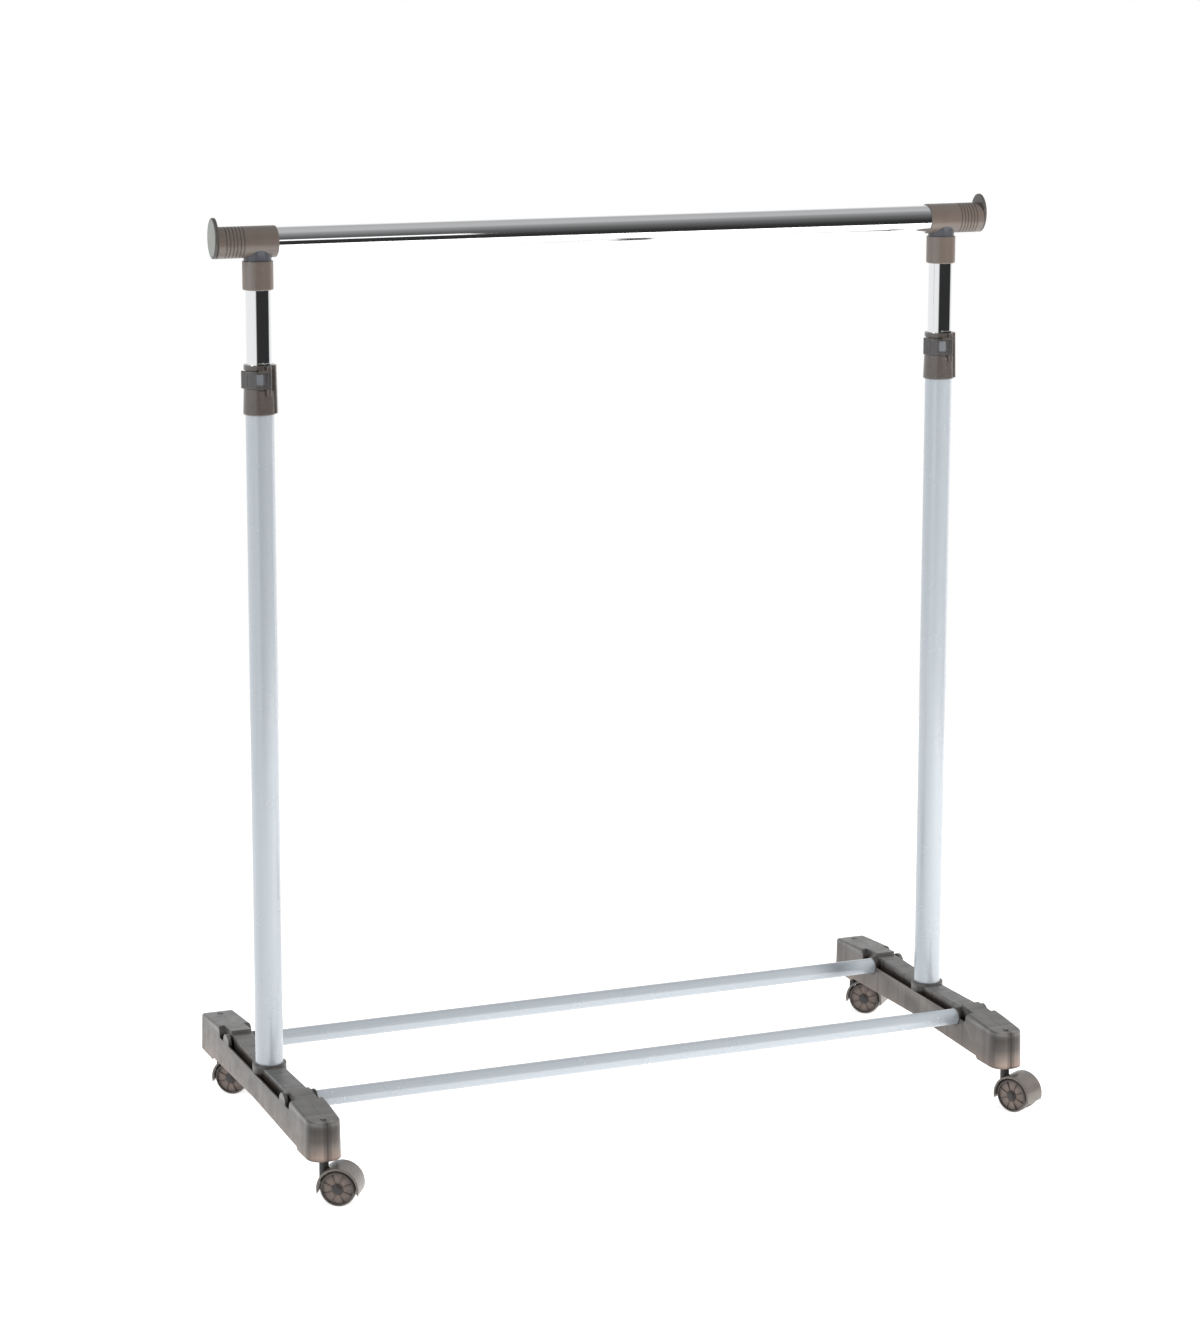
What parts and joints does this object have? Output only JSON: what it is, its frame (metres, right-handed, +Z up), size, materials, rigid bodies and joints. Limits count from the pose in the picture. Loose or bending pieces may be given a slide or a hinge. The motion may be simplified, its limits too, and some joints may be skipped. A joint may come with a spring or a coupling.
{
  "type": "rolling clothes rack",
  "caption": "Free-standing rolling clothes rack with a height-adjustable hanging rail on clamped telescopic uprights, tubular bottom rails and swivelling casters.",
  "frame": {"origin": "on the floor, under the middle of the rack's bounding box with the frame lowered", "axes": "+X to the rack's right along the hanging rail, +Y to the back, +Z up"},
  "size_m": [0.952, 0.4655, 1.0678],
  "materials": {
    "smoke_plastic": "smoke-grey translucent moulded plastic, satin",
    "silver_paint": "pale blue-grey silver powder coat on steel tube",
    "plug_plastic": "black moulded plastic",
    "zinc_steel": "zinc-plated steel",
    "dark_plastic": "dark grey moulded plastic, satin",
    "lever_plastic": "dark grey moulded plastic, satin",
    "chrome_steel": "bright spring steel",
    "chrome_tube": "bright chrome-plated steel tube",
    "fitting_plastic": "warm grey metallic-looking moulded plastic, satin",
    "cap_plastic": "grey moulded plastic, satin",
    "caster_sleeve_plastic": "black nylon",
    "caster_plastic": "smoke-grey translucent moulded plastic, satin",
    "axle_steel": "dark oxidised steel",
    "wheel_plastic": "smoke-brown translucent moulded plastic, satin"
  },
  "bodies": {
    "base": {"base_beam_left": "smoke_plastic", "base_beam_right": "smoke_plastic", "caster_sleeve_front_left": "caster_sleeve_plastic", "caster_sleeve_front_right": "caster_sleeve_plastic", "caster_sleeve_rear_left": "caster_sleeve_plastic", "caster_sleeve_rear_right": "caster_sleeve_plastic", "clamp_collar_left": "dark_plastic", "clamp_collar_right": "dark_plastic", "clamp_pin_left": "zinc_steel", "clamp_pin_right": "zinc_steel", "clamp_shim_left": "chrome_steel", "clamp_shim_right": "chrome_steel", "foot_bolt_left": "zinc_steel", "foot_bolt_right": "zinc_steel", "foot_plug_left": "plug_plastic", "foot_plug_right": "plug_plastic", "lower_rail_front": "silver_paint", "lower_rail_rear": "silver_paint", "upright_tube_left": "silver_paint", "upright_tube_right": "silver_paint"},
    "upper_frame": {"end_cap_left": "cap_plastic", "end_cap_right": "cap_plastic", "fitting_screws": "zinc_steel", "guide_bush_left": "plug_plastic", "guide_bush_right": "plug_plastic", "hanging_rail": "chrome_tube", "inner_tube_left": "chrome_tube", "inner_tube_right": "chrome_tube", "t_fitting_left": "fitting_plastic", "t_fitting_right": "fitting_plastic"},
    "lever_left": {"clamp_lever_left": "lever_plastic"},
    "lever_right": {"clamp_lever_right": "lever_plastic"},
    "caster_front_left": {"caster_stem_front_left": "zinc_steel", "caster_hood_front_left": "caster_plastic", "caster_axle_front_left": "axle_steel"},
    "wheel_near_front_left": {"caster_wheel_near_front_left": "wheel_plastic"},
    "wheel_far_front_left": {"caster_wheel_far_front_left": "wheel_plastic"},
    "caster_front_right": {"caster_stem_front_right": "zinc_steel", "caster_hood_front_right": "caster_plastic", "caster_axle_front_right": "axle_steel"},
    "wheel_near_front_right": {"caster_wheel_near_front_right": "wheel_plastic"},
    "wheel_far_front_right": {"caster_wheel_far_front_right": "wheel_plastic"},
    "caster_rear_left": {"caster_stem_rear_left": "zinc_steel", "caster_hood_rear_left": "caster_plastic", "caster_axle_rear_left": "axle_steel"},
    "wheel_near_rear_left": {"caster_wheel_near_rear_left": "wheel_plastic"},
    "wheel_far_rear_left": {"caster_wheel_far_rear_left": "wheel_plastic"},
    "caster_rear_right": {"caster_stem_rear_right": "zinc_steel", "caster_hood_rear_right": "caster_plastic", "caster_axle_rear_right": "axle_steel"},
    "wheel_near_rear_right": {"caster_wheel_near_rear_right": "wheel_plastic"},
    "wheel_far_rear_right": {"caster_wheel_far_rear_right": "wheel_plastic"}
  },
  "joints": [
    {"name": "height_adjust", "type": "slide", "parent": "base", "child": "upper_frame", "axis": [0, 0, 1], "range_m": [-0.078, 0.55]},
    {"name": "clamp_lever_left", "type": "hinge", "parent": "base", "child": "lever_left", "pos_m": [-0.41767, -0.004, 0.888], "axis": [0, 0, 1], "range_deg": [0, 100]},
    {"name": "clamp_lever_right", "type": "hinge", "parent": "base", "child": "lever_right", "pos_m": [0.42933, -0.004, 0.888], "axis": [0, 0, 1], "range_deg": [0, 100]},
    {"name": "swivel_front_left", "type": "hinge", "parent": "base", "child": "caster_front_left", "pos_m": [-0.4235, -0.188, 0.05], "axis": [0, 0, 1], "continuous": true},
    {"name": "roll_near_front_left", "type": "hinge", "parent": "caster_front_left", "child": "wheel_near_front_left", "pos_m": [-0.40781, -0.1978, 0.02], "axis": [0.5299, 0.848, 0], "continuous": true},
    {"name": "roll_far_front_left", "type": "hinge", "parent": "caster_front_left", "child": "wheel_far_front_left", "pos_m": [-0.40781, -0.1978, 0.02], "axis": [0.5299, 0.848, 0], "continuous": true},
    {"name": "swivel_front_right", "type": "hinge", "parent": "base", "child": "caster_front_right", "pos_m": [0.4235, -0.188, 0.05], "axis": [0, 0, 1], "continuous": true},
    {"name": "roll_near_front_right", "type": "hinge", "parent": "caster_front_right", "child": "wheel_near_front_right", "pos_m": [0.43275, -0.20402, 0.02], "axis": [0.866, 0.5, 0], "continuous": true},
    {"name": "roll_far_front_right", "type": "hinge", "parent": "caster_front_right", "child": "wheel_far_front_right", "pos_m": [0.43275, -0.20402, 0.02], "axis": [0.866, 0.5, 0], "continuous": true},
    {"name": "swivel_rear_left", "type": "hinge", "parent": "base", "child": "caster_rear_left", "pos_m": [-0.4235, 0.217, 0.05], "axis": [0, 0, 1], "continuous": true},
    {"name": "roll_near_rear_left", "type": "hinge", "parent": "caster_rear_left", "child": "wheel_near_rear_left", "pos_m": [-0.40933, 0.20511, 0.02], "axis": [0.6428, 0.766, 0], "continuous": true},
    {"name": "roll_far_rear_left", "type": "hinge", "parent": "caster_rear_left", "child": "wheel_far_rear_left", "pos_m": [-0.40933, 0.20511, 0.02], "axis": [0.6428, 0.766, 0], "continuous": true},
    {"name": "swivel_rear_right", "type": "hinge", "parent": "base", "child": "caster_rear_right", "pos_m": [0.4235, 0.217, 0.05], "axis": [0, 0, 1], "continuous": true},
    {"name": "roll_near_rear_right", "type": "hinge", "parent": "caster_rear_right", "child": "wheel_near_rear_right", "pos_m": [0.43681, 0.20415, 0.02], "axis": [0.6947, 0.7193, 0], "continuous": true},
    {"name": "roll_far_rear_right", "type": "hinge", "parent": "caster_rear_right", "child": "wheel_far_rear_right", "pos_m": [0.43681, 0.20415, 0.02], "axis": [0.6947, 0.7193, 0], "continuous": true}
  ]
}
